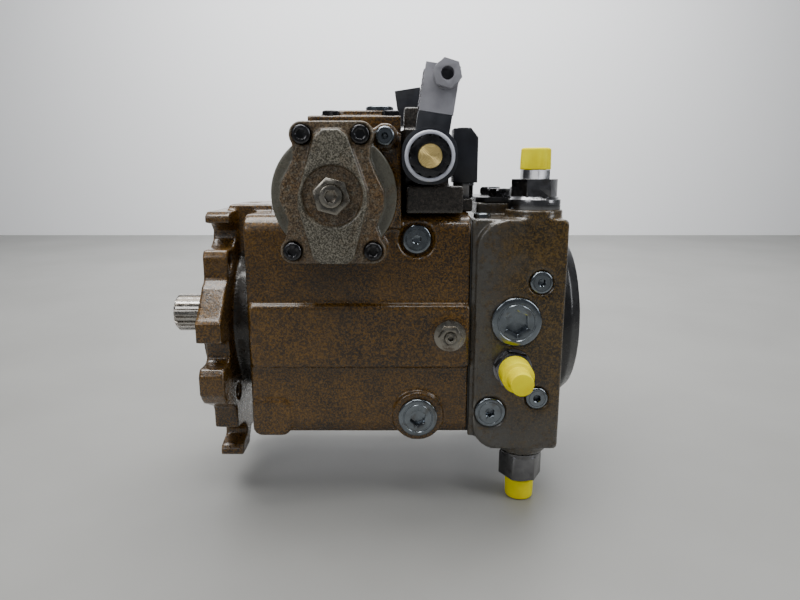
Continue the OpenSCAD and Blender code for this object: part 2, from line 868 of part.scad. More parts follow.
module centring_springs() {
    spring_len = servo_half - 6 - (servo_piston_half - 20) - 0.2;
    color("dimgray") both_sides() translate([servo_x, -(servo_piston_half - 20) - 0.1, servo_z])
        rotate([90, 0, 0]) coil_spring(19, 2.2, spring_len, 6);
}

module servo_cover_outline() {
    translate([servo_x, servo_z]) {
        polygon([[-21, 52.5], [20.5, 52.5], [28, 40], [27, 26], [31, 16], [37, 4], [37, -8], [31.5, -22],
                 [36, -36], [29, -49.5], [-30, -49.5], [-36.5, -36], [-32.5, -18], [-39, -3], [-37.5, 9],
                 [-28, 26], [-28.5, 40]]);
        for (e = servo_ears) translate(e) circle(ear_r);
    }
}

module servo_rib_outline() {
    translate([servo_x, servo_z])
        polygon([[-6, 46.5], [6, 46.5], [11.5, 42], [25, 4], [25, -7], [15, -45], [10.5, -49.3],
                 [-9, -49.3], [-15, -45], [-25, -8], [-25, 1], [-12, 42]]);
}

module servo_cover() {
    difference() {
        union() {
            rod_front(servo_x, servo_z, -servo_half, cover_plate_y - servo_half + eps, servo_r);
            along_front(-servo_half, cover_plate_y - servo_half + eps) servo_ear_outline();
            along_front(-cover_plate_y, cover_face_y - cover_plate_y) servo_cover_outline();
            along_front(-cover_face_y + 1, rib_face_y - cover_face_y + 1) servo_rib_outline();
            rod_front(servo_x, servo_z, -servo_half + 6, 7, servo_bore_r - run);
        }
        rod_front(servo_x, servo_z, -cover_face_y, 10, pocket_r);
        rod_front(servo_x, servo_z, -60, 60, adjuster_r + thread_gap);
        turn_front(servo_x, servo_z) translate([servo_bore_r - 2.2, servo_half - 3]) circle(1.7, $fn = 20);
        turn_front(servo_x, servo_z) translate([servo_bore_r - 2.2, servo_half - 4.7]) square([4, 3.4]);
        for (e = servo_ears) {
            rod_front(servo_x + e[0], servo_z + e[1], -servo_half + 2, 60, m8_r + 0.3);
            rod_front(servo_x + e[0], servo_z + e[1], -cover_face_y + 3.5, 20, m8_head_r + 0.5);
        }
    }
}

module servo_cover_front() {
    color("darkkhaki") servo_cover();
}

module servo_cover_rear() {
    color("darkkhaki") mirror([0, 1, 0]) servo_cover();
}

module adjuster_screws() {
    color("gray") {
        both_sides() difference() {
            rod_front(servo_x, servo_z, -65, 61, adjuster_r);
            hex_front(servo_x, servo_z, -120, 10, 8);
        }
        difference() {
            rod_front(neutral_x, neutral_z, -52, 44, neutral_r);
            hex_front(neutral_x, neutral_z, -91, 10, 4);
        }
    }
}

module adjuster_locknuts() {
    color("darkgray") {
        both_sides() difference() {
            hex_front(servo_x, servo_z, -cover_face_y, 10, 24, 15);
            rod_front(servo_x, servo_z, -cover_face_y + 1, 20, adjuster_r + thread_gap);
        }
        difference() {
            union() {
                rod_front(neutral_x, neutral_z, -pad_face - 1, 2, 12.8);
                hex_front(neutral_x, neutral_z, -pad_face - 2.9, 6, 16.5);
            }
            rod_front(neutral_x, neutral_z, -pad_face, 20, neutral_r + thread_gap);
        }
    }
}

// ---------------------------------------------------------------- control valve

module control_block() {
    color("saddlebrown") difference() {
        union() {
            block([90, -lid_half, 158.1], [161, lid_half, lid_top]);
            translate([0, 0, lid_top - 1]) linear_extrude(pad_top - lid_top + 1)
                round_rect([109.5, -66], [159.5, 40], 6);
        }
        // The cylinder's crest stands in a shallow trough under the block
        rod_front(servo_x, servo_z, servo_half + 1, 2 * servo_half + 2, servo_r + 0.3);
        for (p = [top_plugs[0], top_plugs[1]]) rod_z(p[0], p[1], p[2] - 10, 20, p[4]);
        for (p = block_screws) {
            rod_z(p[0], p[1], 150, 30, m8_r + loose);
            rod_z(p[0], p[1], lid_top - 4.1, 20, m8_head_r + 0.4);
        }
    }
}

module valve_body() {
    color([0.25, 0.2, 0.17]) difference() {
        union() {
            block([163.5, -61.5, valve_floor], [199.5, 61.5, 163]);
            block([163.5, -61.5, valve_floor], [219, 61.5, 108]);
            block([165, -82, valve_floor], [209, -60, 118.5]);
            block([163.5, -40, 162], [177, 30, 181]);
        }
        rod_front(spool_x, spool_z, 70, 140, spool_r);
        rod_z(cutoff_x, cutoff_y, valve_floor + 1, 20, 6.1);
        for (p = valve_screws) {
            rod_z(p[0], p[1], 90, 30, m8_r + loose);
            rod_z(p[0], p[1], valve_floor + 8, 80, m8_head_r + 0.4);
        }
    }
}

// Frame of a connector plug that leans to its right, seen from its cable side
plug_lean = 8.5;
front_plug_at = [spool_x + 4.9, spool_z + 30.8];
rear_plug_at = [spool_x + 9, spool_z + 35.3];
gland_at = [3.4, 27.3];
module plug_place(at) {
    translate([at[0], -84, at[1]]) rotate([0, plug_lean, 0]) children();
}

// The rear coil and its plug are the front ones turned half a turn about the valve's middle
module rear_turn() {
    translate([2 * spool_x, 0, 0]) rotate([0, 0, 180]) children();
}

module solenoid_coil(at, base_right, base_h) {
    difference() {
        union() {
            along_front(-coil_y, coil_len) translate([spool_x, spool_z])
                round_rect([-coil_half, -coil_half], [coil_half, coil_half], 17);
            plug_place(at) block([-13, -14, -base_h], [base_right, 14, 0]);
        }
        rod_front(spool_x, spool_z, -coil_y + 1, coil_len + 2, armature_r + 0.4);
    }
}

module solenoid_coils() {
    color([0.08, 0.08, 0.08]) {
        solenoid_coil(front_plug_at, 12, 18);
        rear_turn() solenoid_coil(rear_plug_at, 7, 24);
    }
}

module coil_rings() {
    color("whitesmoke") both_sides() turn_front(spool_x, spool_z)
        polygon([[nut_r + 0.2, coil_y + coil_len], [ring_r, coil_y + coil_len], [ring_r, 114],
                 [ring_r - 1, 115], [nut_r + 0.2, 115]]);
}

module coil_nuts() {
    color([0.1, 0.1, 0.1]) both_sides() along_front(-coil_y - coil_len, 8.5) translate([spool_x, spool_z])
        difference() {
            circle(nut_r);
            circle(disc_r + loose);
            for (a = [0:30:330]) rotate(a) translate([nut_r + 0.6, 0]) circle(1.8, $fn = 16);
        }
}

module control_spool() {
    land = spool_r - run;
    groove = spool_r - 3;
    half = [[0, 0], [groove, 0], [groove, 10], [land, 10], [land, 24], [groove, 24], [groove, 36],
            [land, 36], [land, 64.5], [armature_r, 66], [armature_r, 100], [5, 100], [5, 114],
            [disc_r, 114], [disc_r, 117.5], [0, 117.5]];
    color("goldenrod") both_sides() turn_front(spool_x, spool_z) polygon(half);
}

module din_plug_shape() {
    block([-12.6, -14, 0.2], [12.6, 14, 34]);
    for (i = [0:6]) block([-13.6, -12, 3 + 4 * i], [-12, 12, 5 + 4 * i]);
}

module din_plug_front() {
    color("gray") plug_place(front_plug_at) difference() {
        din_plug_shape();
        rod_front(gland_at[0], gland_at[1], 0, 30, 7.1);
    }
}

module din_plug_rear() {
    color([0.1, 0.1, 0.1]) rear_turn() plug_place(rear_plug_at) difference() {
        din_plug_shape();
        rod_front(gland_at[0], gland_at[1], 0, 30, 7.1);
    }
}

module cable_gland() {
    color("gray") plug_place(front_plug_at) difference() {
        union() {
            rod_front(gland_at[0], gland_at[1], -4, 12, 7);
            rod_front(gland_at[0], gland_at[1], -14.1, 3, 9.3);
            hex_front(gland_at[0], gland_at[1], -17, 5, 18.6, 8);
        }
        rod_front(gland_at[0], gland_at[1], -6, 30, 4.7);
    }
}

module cutoff_coil() {
    color([0.08, 0.08, 0.08]) difference() {
        along_front(-33, 25)
            polygon([[203.2, 120.6], [222.6, 120.6], [222.6, 156], [217, 163], [203.2, 163]]);
        rod_z(cutoff_x, cutoff_y, 118, 60, 6.1);
    }
}

module cutoff_cartridge() {
    color("silver") {
        rod_z(cutoff_x, cutoff_y, valve_floor + 2, 10, 6);
        hex_z(cutoff_x, cutoff_y, 108.1, 10.2, 14);
        rod_z(cutoff_x, cutoff_y, 118.2, 2.2, 8.8);
        rod_z(cutoff_x, cutoff_y, 120, 44, 5.9);
    }
}

// ---------------------------------------------------------------- fittings and their caps

module front_fitting() {
    color("silver") difference() {
        union() {
            rod_front(front_fit[0], front_fit[1], -plate_half + 12, 13, 10);
            rod_front(front_fit[0], front_fit[1], -plate_half - 0.05, 1.6, 15.7);
            hex_front(front_fit[0], front_fit[1], -plate_half - 1.6, 8.4, 27, 10);
            rod_front(front_fit[0], front_fit[1], -plate_half - 9, 14, 9.4);
        }
        rod_front(front_fit[0], front_fit[1], -50, 60, 4);
    }
}

module front_cap() {
    y = plate_half + 10.2;
    color("yellow") turn_front(front_fit[0], front_fit[1])
        polygon([[9.5, y], [13, y], [12.6, 112], [9.2, 113], [8.85, 128], [0, 128], [0, 109], [9.5, 109]]);
}

module top_fitting() {
    x = top_fit[0];
    y = top_fit[1];
    color("silver") difference() {
        union() {
            rod_z(x, y, 91, 10, 13);
            rod_z(x, y, boss_top, 107.7 - boss_top, 21);
            translate([x, y, 107.6]) cylinder(h = 2.5, r1 = 20, r2 = 17.5);
            hex_z(x, y, 110, 13.5, 32);
            hex_z(x, y, 123.4, 7.2, 21, 30);
            rod_z(x, y, 130, 12, 8.6);
        }
        rod_z(x, y, 80, 70, 4);
    }
}

module top_cap() {
    cap_z = 130.8;
    color("yellow") translate([top_fit[0], top_fit[1], 0]) rotate_extrude()
        polygon([[8.7, cap_z], [12.2, cap_z], [11.7, 146.6], [10.7, 147.6], [0, 147.6], [0, 143.5],
                 [8.7, 143.5]]);
}

module bottom_fitting() {
    x = bottom_fit[0];
    y = bottom_fit[1];
    color("silver") difference() {
        union() {
            rod_z(x, y, -108, 14, 13);
            translate([x, y, -111]) cylinder(h = 4, r1 = 17, r2 = 18.5);
            hex_z(x, y, -131, 20.2, 32);
            rod_z(x, y, -134, 4, 12);
            rod_z(x, y, -147, 14, 8.6);
        }
        rod_z(x, y, -150, 70, 4);
    }
}

module bottom_cap() {
    cap_z = -134.2;
    color("yellow") translate([bottom_fit[0], bottom_fit[1], 0]) rotate_extrude()
        polygon([[8.7, cap_z], [12.4, cap_z], [12, -151], [11, -152], [0, -152], [0, -148], [8.7, -148]]);
}

housing();
port_plate();
seals();
socket_screws();
port_cover_bolts();
boost_cover();
bearing_cups();
shaft_seal();
seal_circlip();
cradle_bearings();
valve_plate();
servo_cover_front();
servo_cover_rear();
adjuster_screws();
adjuster_locknuts();
control_block();
valve_body();
solenoid_coils();
coil_rings();
coil_nuts();
din_plug_front();
din_plug_rear();
cable_gland();
cutoff_coil();
cutoff_cartridge();
blanking_plugs();
relief_plugs();
front_fitting();
top_fitting();
bottom_fitting();
port_covers();
drive_shaft();
front_bearing_cone();
bearing_rollers();
cylinder_block();
retaining_ball();
block_spring();
boost_rotor_inner();
boost_rotor_outer();
piston_1();
piston_2();
piston_3();
piston_4();
piston_5();
piston_6();
piston_7();
piston_8();
piston_9();
slippers();
retaining_plate();
swash_plate();
servo_piston();
centring_springs();
control_spool();
front_cap();
top_cap();
bottom_cap();
relief_poppet_front();
relief_poppet_rear();
relief_springs();
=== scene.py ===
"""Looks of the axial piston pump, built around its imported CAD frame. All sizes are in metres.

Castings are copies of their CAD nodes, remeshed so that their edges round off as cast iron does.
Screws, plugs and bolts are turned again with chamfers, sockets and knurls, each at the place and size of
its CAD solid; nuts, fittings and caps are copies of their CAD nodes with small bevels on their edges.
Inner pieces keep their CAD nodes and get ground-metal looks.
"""
import json
import math

import bmesh
import bpy
from mathutils import Matrix, Vector


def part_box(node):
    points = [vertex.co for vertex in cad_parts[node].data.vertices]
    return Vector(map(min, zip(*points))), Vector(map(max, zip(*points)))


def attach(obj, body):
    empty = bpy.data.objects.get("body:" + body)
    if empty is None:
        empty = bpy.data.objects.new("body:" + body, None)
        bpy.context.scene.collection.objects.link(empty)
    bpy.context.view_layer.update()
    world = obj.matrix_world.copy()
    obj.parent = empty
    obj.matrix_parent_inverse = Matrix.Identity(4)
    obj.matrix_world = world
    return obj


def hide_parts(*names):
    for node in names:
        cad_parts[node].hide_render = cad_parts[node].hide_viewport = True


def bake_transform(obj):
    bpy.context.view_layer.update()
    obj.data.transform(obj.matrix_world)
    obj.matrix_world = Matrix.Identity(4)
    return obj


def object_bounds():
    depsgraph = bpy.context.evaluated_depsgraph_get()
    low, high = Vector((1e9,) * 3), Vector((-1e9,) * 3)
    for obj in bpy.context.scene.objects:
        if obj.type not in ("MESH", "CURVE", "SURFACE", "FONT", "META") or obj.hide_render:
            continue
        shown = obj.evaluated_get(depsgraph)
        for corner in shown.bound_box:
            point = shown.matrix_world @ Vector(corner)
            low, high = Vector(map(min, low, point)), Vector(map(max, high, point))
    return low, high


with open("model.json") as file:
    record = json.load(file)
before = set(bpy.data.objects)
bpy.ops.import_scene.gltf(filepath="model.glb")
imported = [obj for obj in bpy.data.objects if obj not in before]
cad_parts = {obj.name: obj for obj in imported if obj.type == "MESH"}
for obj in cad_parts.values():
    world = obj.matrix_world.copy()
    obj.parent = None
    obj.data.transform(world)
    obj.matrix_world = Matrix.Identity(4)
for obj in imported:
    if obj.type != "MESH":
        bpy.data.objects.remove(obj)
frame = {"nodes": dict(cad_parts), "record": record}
cad_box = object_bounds()
record = frame["record"]

MM = 0.001
NODE_BODY = {n: b for b, names in record["behaviour"]["bodies"].items() for n in names}
NODE_SLOT = {s["node"]: s["material_slot"] for s in record["subparts"]}
FRONT = Vector((0, -1, 0))
DEG = math.pi / 180


# ---------------------------------------------------------------- camera

def make_camera():
    """A wide lens a little above the pump, tilted down at it."""
    data = bpy.data.cameras.new("camera")
    data.sensor_width = 36
    data.lens = 27.05
    camera = bpy.data.objects.new("camera", data)
    camera.location = (0.1602, -0.5523, 0.1288)
    camera.rotation_euler = (78 * DEG, 0, 0)
    bpy.context.scene.collection.objects.link(camera)
    bpy.context.scene.camera = camera


# ---------------------------------------------------------------- materials

class Look:
    """A Principled material, with short names for the procedural nodes that feed it."""

    def __init__(self, name, **sockets):
        self.material = bpy.data.materials.new(name)
        self.material.use_nodes = True
        self.tree = self.material.node_tree
        self.shader = self.tree.nodes["Principled BSDF"]
        for socket, value in sockets.items():
            self.shader.inputs[socket.replace("_", " ")].default_value = value
        self.place = self.new("ShaderNodeTexCoord").outputs["Object"]
        self.bump_out = None

    def new(self, kind, **settings):
        node = self.tree.nodes.new(kind)
        for key, value in settings.items():
            setattr(node, key, value)
        return node

    def feed(self, socket, value):
        """Links an output to a socket, or sets the socket to a colour or number."""
        if isinstance(value, bpy.types.NodeSocket):
            self.tree.links.new(value, socket)
        elif isinstance(value, tuple) and len(value) == 3 and socket.type == "RGBA":
            socket.default_value = (*value, 1)
        else:
            socket.default_value = value

    def noise(self, scale, detail=3, roughness=0.55, stretch=(1, 1, 1), warp=0.0):
        """Cloudy noise around 0.5; scale is in bumps per metre."""
        mapping = self.new("ShaderNodeMapping")
        mapping.inputs["Scale"].default_value = stretch
        self.feed(mapping.inputs["Vector"], self.place)
        node = self.new("ShaderNodeTexNoise")
        self.feed(node.inputs["Vector"], mapping.outputs[0])
        node.inputs["Scale"].default_value = scale
        node.inputs["Detail"].default_value = detail
        node.inputs["Roughness"].default_value = roughness
        node.inputs["Distortion"].default_value = warp
        return node.outputs["Fac"]

    def rings(self, centre, scale):
        """Fine turned rings around an axis along Y through centre."""
        mapping = self.new("ShaderNodeMapping")
        mapping.inputs["Location"].default_value = [-c for c in centre]
        self.feed(mapping.inputs["Vector"], self.place)
        node = self.new("ShaderNodeTexWave", wave_type="RINGS", rings_direction="Y")
        self.feed(node.inputs["Vector"], mapping.outputs[0])
        node.inputs["Scale"].default_value = scale
        node.inputs["Distortion"].default_value = 0.6
        node.inputs["Detail"].default_value = 2
        return node.outputs["Fac"]

    def along(self, axis):
        """A point's place along one axis of the frame, in metres."""
        node = self.new("ShaderNodeSeparateXYZ")
        self.feed(node.inputs[0], self.place)
        return node.outputs["XYZ".index(axis)]

    def edges(self, low, high):
        """1 on outer edges, 0 elsewhere."""
        return self.span(self.new("ShaderNodeNewGeometry").outputs["Pointiness"], low, high)

    def span(self, value, low, high, out_low=0.0, out_high=1.0):
        """Maps low..high smoothly to out_low..out_high."""
        node = self.new("ShaderNodeMapRange", interpolation_type="SMOOTHSTEP")
        for key, number in (("Value", value), ("From Min", low), ("From Max", high),
                            ("To Min", out_low), ("To Max", out_high)):
            self.feed(node.inputs[key], number)
        return node.outputs[0]

    def sum(self, a, b, operation="ADD"):
        node = self.new("ShaderNodeMath", operation=operation)
        node.use_clamp = operation in ("ADD", "SUBTRACT")
        self.feed(node.inputs[0], a)
        self.feed(node.inputs[1], b)
        return node.outputs[0]

    def times(self, a, b):
        return self.sum(a, b, "MULTIPLY")

    def mix(self, factor, a, b):
        node = self.new("ShaderNodeMix", data_type="RGBA")
        self.feed(node.inputs[0], factor)
        self.feed(node.inputs[6], a)
        self.feed(node.inputs[7], b)
        return node.outputs[2]

    def color(self, value):
        self.feed(self.shader.inputs["Base Color"], value)

    def roughness(self, value):
        self.feed(self.shader.inputs["Roughness"], value)

    def metal(self, value):
        self.feed(self.shader.inputs["Metallic"], value)

    def bump(self, height, strength, depth):
        """Adds one more layer of bumps, depth metres high, to those already there."""
        node = self.new("ShaderNodeBump")
        node.inputs["Strength"].default_value = strength
        node.inputs["Distance"].default_value = depth
        self.feed(node.inputs["Height"], height)
        if self.bump_out is not None:
            self.feed(node.inputs["Normal"], self.bump_out)
        self.bump_out = node.outputs[0]
        self.feed(self.shader.inputs["Normal"], self.bump_out)


def oily_cast(name, dark, light, wear_highlight_color, wear_highlight_from=0.53, grey_zone=None, shade=None):
    """Coated cast iron under a film of oil: amber speckle, worn edges lightened also as painted highlights,
    optional painted shade, an optional rubbed grey zone.
    """
    look = Look(name, Coat_Weight=0.55, Coat_Roughness=0.12, Specular_IOR_Level=0.45)
    speckle = look.span(look.noise(640, 4, 0.8), 0.46, 0.58)
    patches = look.span(look.noise(26, 5, 0.65, warp=0.3), 0.32, 0.70)
    tone = look.sum(look.times(speckle, 0.74), look.times(patches, 0.26))
    color = look.mix(tone, dark, light)
    grime = look.span(look.noise(13, 5, 0.65, warp=0.5), 0.54, 0.74)
    color = look.mix(look.times(grime, 0.6), color, tuple(0.5 * c for c in dark))
    ragged = look.span(look.noise(180, 4, 0.7), 0.36, 0.6)
    # Painted shade: a nearly black colour mixed in where the shade mask is high.
    if shade is not None:
        color = look.mix(shade(look), color, (0.004, 0.003, 0.002))
    if grey_zone is not None:
        rubbed = look.times(grey_zone(look), look.sum(ragged, 0.45))
        color = look.mix(rubbed, color, (0.064, 0.061, 0.054))
    # Convex edges lightened: real wear, and also painted highlights along the edges.
    wear_and_highlight = look.times(look.edges(wear_highlight_from, wear_highlight_from + 0.06), ragged)
    look.color(look.mix(wear_and_highlight, color, wear_highlight_color))
    look.metal(look.times(wear_and_highlight, 0.5))
    look.roughness(look.span(look.noise(300, 3), 0.3, 0.7, 0.22, 0.44))
    look.bump(look.noise(560, 3, 0.65), 0.5, 0.0006)
    look.bump(look.noise(110, 3, 0.5), 0.3, 0.0012)
    return look.material


def neck_shade(look):
    """Mask of painted shade, nearly black, in the gap between the flange and the housing, fading out up
    towards the lifting-eye pad.
    """
    behind_flange = look.span(look.along("X"), 19 * MM, 23 * MM)
    before_housing = look.span(look.along("X"), 40 * MM, 36 * MM)
    below_eye_pad = look.span(look.along("Z"), 66 * MM, 56 * MM, 0.0, 0.9)
    return look.times(look.times(behind_flange, before_housing), below_eye_pad)


def plate_zone(look):
    """The port plate's strip next to the housing and its foot, rubbed to grey."""
    edge_x, _, foot_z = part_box("port_plate")[0]
    strip = look.span(look.along("X"), edge_x + 8 * MM, edge_x + 42 * MM, 0.85, 0.0)
    foot = look.span(look.along("Z"), foot_z + 12 * MM, foot_z + 62 * MM, 0.8, 0.0)
    blotch = look.times(look.span(look.noise(30, 4, 0.6), 0.52, 0.7), 0.35)
    return look.sum(look.sum(strip, foot), blotch)


def olive_cover():
    """Stroking cylinder covers: olive rib, rust-brown face behind it, smooth machined rim at the back."""
    look = Look("olive_cover", Coat_Weight=0.3, Coat_Roughness=0.18)
    reach = abs(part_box("servo_cover_front")[0][1])
    depth = look.sum(reach, look.sum(look.along("Y"), 0.0, "ABSOLUTE"), "SUBTRACT")
    face = look.times(look.span(depth, 1.2 * MM, 3.0 * MM), look.span(depth, 10.5 * MM, 9.0 * MM))
    rim = look.span(depth, 9.5 * MM, 12.0 * MM)
    grain = look.span(look.noise(800, 4, 0.8), 0.44, 0.59)
    color = look.mix(grain, (0.034, 0.030, 0.020), (0.225, 0.208, 0.165))
    color = look.mix(look.times(rim, 0.85), color, (0.100, 0.098, 0.078))
    ragged = look.span(look.noise(320, 3, 0.6), 0.25, 0.55)
    stains = look.span(look.noise(48, 5, 0.65, warp=0.4), 0.50, 0.64)
    rust = look.times(look.sum(look.times(face, 0.72), look.times(stains, 0.35)), ragged)
    rust_tone = look.mix(grain, (0.040, 0.022, 0.008), (0.165, 0.098, 0.040))
    color = look.mix(rust, color, rust_tone)
    # Painted shade: hollows, where pointiness is low, darkened towards near black.
    hollow_shade = look.sum(1.0, look.edges(0.42, 0.485), "SUBTRACT")
    color = look.mix(look.times(hollow_shade, 0.9), color, (0.022, 0.014, 0.008))
    # Convex edges lightened: wear, and also painted highlights along the edges.
    wear_and_highlight = look.times(look.edges(0.53, 0.60), 0.75)
    look.color(look.mix(wear_and_highlight, color, (0.38, 0.36, 0.30)))
    look.metal(look.times(wear_and_highlight, 0.5))
    look.roughness(look.span(look.noise(300, 3), 0.3, 0.7, 0.26, 0.46))
    look.bump(look.noise(620, 3, 0.65), 0.45, 0.0006)
    look.bump(look.noise(110, 3), 0.25, 0.0012)
    return look.material


def metal(name, color, rough, streak=0.35, bump=0.12, dirt=None, dirt_amount=0.5):
    """Bare or plated metal with faint machining streaks, and dirt in patches."""
    look = Look(name, Metallic=1.0)
    streaks = look.noise(900, 3, 0.6, stretch=(1, 1, 0.15))
    cloud = look.span(look.noise(130, 4, 0.6), 0.3, 0.7)
    tone = look.sum(look.times(streaks, streak), look.times(cloud, 1 - streak))
    base = look.mix(tone, tuple(0.68 * c for c in color), color)
    if dirt is not None:
        stain = look.span(look.noise(75, 5, 0.7), 0.5, 0.66)
        base = look.mix(look.times(stain, dirt_amount), base, dirt)
    look.color(base)
    look.roughness(look.span(cloud, 0, 1, rough * 0.8, rough * 1.35))
    look.bump(streaks, bump, 0.0002)
    return look.material


def plastic(name, dark, light, rough, grain=800, bump=0.15, coat=0.0, specular=0.5):
    """Moulded plastic, rubber or paint: cloudy between two tones, with a fine grain."""
    look = Look(name, Coat_Weight=coat, Coat_Roughness=0.12, Specular_IOR_Level=specular)
    look.color(look.mix(look.span(look.noise(60, 4), 0.3, 0.7), dark, light))
    look.roughness(look.span(look.noise(200, 3), 0.3, 0.7, rough * 0.85, rough * 1.2))
    look.bump(look.noise(grain, 2), bump, 0.0002)
    return look.material


def turned_brass():
    """Brass with turned rings around the spool's axis."""
    low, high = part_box("control_spool")
    centre = [(low[i] + high[i]) / 2 for i in range(3)]
    look = Look("turned_brass", Metallic=1.0)
    rings = look.rings(centre, 320)
    look.color(look.mix(rings, (0.66, 0.46, 0.14), (1.0, 0.80, 0.36)))
    look.roughness(look.span(rings, 0, 1, 0.26, 0.42))
    look.bump(rings, 0.5, 0.0003)
    return look.material


def make_looks():
    """One look for each material slot of the record, and worn_steel for the adjusters."""
    brown_dark, brown_light = (0.007, 0.003, 0.001), (0.180, 0.088, 0.010)
    # Edge colours: worn metal, and also painted edge highlights.
    grey_wear_highlight, plate_wear_highlight, dark_wear_highlight = (0.24, 0.22, 0.185), (0.30, 0.285, 0.25), (0.16, 0.15, 0.14)
    plate_dark, plate_light = (0.006, 0.004, 0.002), (0.130, 0.076, 0.016)
    return {
        "cast_brown": oily_cast("brown_cast", brown_dark, brown_light, grey_wear_highlight, shade=neck_shade),
        "cast_plate": oily_cast("plate_cast", plate_dark, plate_light, plate_wear_highlight, 0.525, plate_zone),
        "cast_dark": oily_cast("dark_cast", (0.010, 0.008, 0.006), (0.058, 0.048, 0.040), dark_wear_highlight),
        "cover_olive": olive_cover(),
        "black_paint": plastic("black_paint", (0.006, 0.006, 0.007), (0.018, 0.018, 0.019), 0.3, 500,
                               bump=0.3, coat=0.3),
        "black_oxide": metal("black_oxide", (0.075, 0.075, 0.08), 0.24, dirt=(0.016, 0.012, 0.009)),
        "zinc": metal("blue_zinc", (0.24, 0.27, 0.30), 0.18, dirt=(0.09, 0.075, 0.055)),
        "fitting_steel": metal("fitting_steel", (0.24, 0.24, 0.25), 0.20, dirt=(0.07, 0.06, 0.05)),
        "steel": metal("machined_steel", (0.46, 0.44, 0.41), 0.24, dirt=(0.20, 0.15, 0.11)),
        "worn_steel": metal("worn_steel", (0.33, 0.31, 0.27), 0.26, dirt=(0.08, 0.045, 0.025),
                            dirt_amount=0.6),
        "bearing_steel": metal("ground_steel", (0.62, 0.62, 0.62), 0.2),
        "coil_plastic": plastic("coil_black", (0.009, 0.010, 0.014), (0.022, 0.024, 0.032), 0.34, 900, 0.25),
        "white_plastic": plastic("pale_ring", (0.46, 0.48, 0.56), (0.62, 0.64, 0.72), 0.3),
        "grey_plastic": plastic("grey_plug", (0.25, 0.25, 0.28), (0.36, 0.36, 0.40), 0.4, 900, 0.2),
        "yellow_plastic": plastic("yellow_cap", (0.93, 0.76, 0.0), (1.0, 0.90, 0.0), 0.45, 300, 0.1,
                                  specular=0.15),
        "bronze": metal("bronze", (0.62, 0.42, 0.20), 0.25),
        "brass": turned_brass(),
        "rubber": plastic("rubber", (0.010, 0.010, 0.010), (0.022, 0.022, 0.022), 0.6),
        "spring_steel": metal("spring_wire", (0.28, 0.28, 0.29), 0.3),
    }


# ---------------------------------------------------------------- mesh tools

def to_object(name, bm):
    """Makes a bmesh into an object in the scene, and frees the bmesh."""
    mesh = bpy.data.meshes.new(name)
    bm.to_mesh(mesh)
    bm.free()
    piece = bpy.data.objects.new(name, mesh)
    bpy.context.scene.collection.objects.link(piece)
    return piece


def node_bmesh(node):
    """The CAD node's mesh as one welded surface."""
    bm = bmesh.new()
    bm.from_mesh(frame["nodes"][node].data)
    bmesh.ops.remove_doubles(bm, verts=bm.verts, dist=1e-6)
    return bm


def sharpen(bm, degrees=35):
    """Shades smooth, but keeps edges sharp where faces meet at more than this angle."""
    limit = degrees * DEG
    for face in bm.faces:
        face.smooth = True
    for edge in bm.edges:
        edge.smooth = len(edge.link_faces) == 2 and edge.calc_face_angle(0) < limit


def settle(piece):
    """Replaces the piece's mesh by what its modifiers make of it."""
    graph = bpy.context.evaluated_depsgraph_get()
    mesh = bpy.data.meshes.new_from_object(piece.evaluated_get(graph))
    piece.modifiers.clear()
    piece.data = mesh


def islands(node):
    """Lowest and highest corner of each separate solid of a CAD node."""
    bm = node_bmesh(node)
    found = []
    waiting = set(bm.verts)
    for start in list(bm.verts):
        if start not in waiting:
            continue
        waiting.discard(start)
        group, queue = [], [start]
        while queue:
            vert = queue.pop()
            group.append(vert.co.copy())
            for edge in vert.link_edges:
                other = edge.other_vert(vert)
                if other in waiting:
                    waiting.discard(other)
                    queue.append(other)
        low = Vector([min(c[i] for c in group) for i in range(3)])
        high = Vector([max(c[i] for c in group) for i in range(3)])
        found.append((low, high))
    bm.free()
    return sorted(found, key=lambda pair: tuple(round(v, 5) for v in (*pair[0], *pair[1])))


def stand(bm, point, outward):
    """Turns a mesh made along +Z so that +Z points outward, with its origin at point."""
    turn = outward.normalized().to_track_quat("Z", "Y").to_matrix().to_4x4()
    bm.transform(Matrix.Translation(point) @ turn)


def hex_radius(across_flats, angle):
    """Distance from a hexagon's middle to its outline in the direction of an angle."""
    return across_flats / 2 / math.cos((angle + math.pi / 6) % (math.pi / 3) - math.pi / 6)


def turned(profile, segments=96, knurl=0.0, turn=0.0):
    """A solid of rings along +Z. A ring is (radius, height), (radius, height, across flats) where a
    hexagon cuts the ring down, or (radius, height, "knurl"). The profile runs from the outer face's
    middle to the middle of the lower end, or ends on its first ring if the solid has a bore."""
    bm = bmesh.new()
    rings = []
    for ring in profile:
        radius, height = ring[0], ring[1]
        if radius == 0:
            rings.append([bm.verts.new((0, 0, height))])
            continue
        verts = []
        for i in range(segments):
            angle = 2 * math.pi * i / segments
            r = radius
            if len(ring) == 3 and ring[2] == "knurl":
                r = radius - (knurl if i % 2 else 0)
            elif len(ring) == 3:
                r = min(radius, hex_radius(ring[2], angle))
            verts.append(bm.verts.new((r * math.cos(angle + turn), r * math.sin(angle + turn), height)))
        rings.append(verts)
    for a, b in zip(rings, rings[1:]):
        for i in range(segments):
            j = (i + 1) % segments
            if len(a) == 1:
                bm.faces.new((a[0], b[i], b[j]))
            elif len(b) == 1:
                bm.faces.new((a[i], b[0], a[j]))
            else:
                bm.faces.new((a[i], b[i], b[j], a[j]))
    bmesh.ops.recalc_face_normals(bm, faces=bm.faces)
    sharpen(bm)
    return bm


def joined(name, meshes):
    """One object out of several bmeshes."""
    whole = bmesh.new()
    for bm in meshes:
        part = bpy.data.meshes.new("part")
        bm.to_mesh(part)
        bm.free()
        whole.from_mesh(part)
        bpy.data.meshes.remove(part)
    return to_object(name, whole)


looks = {}


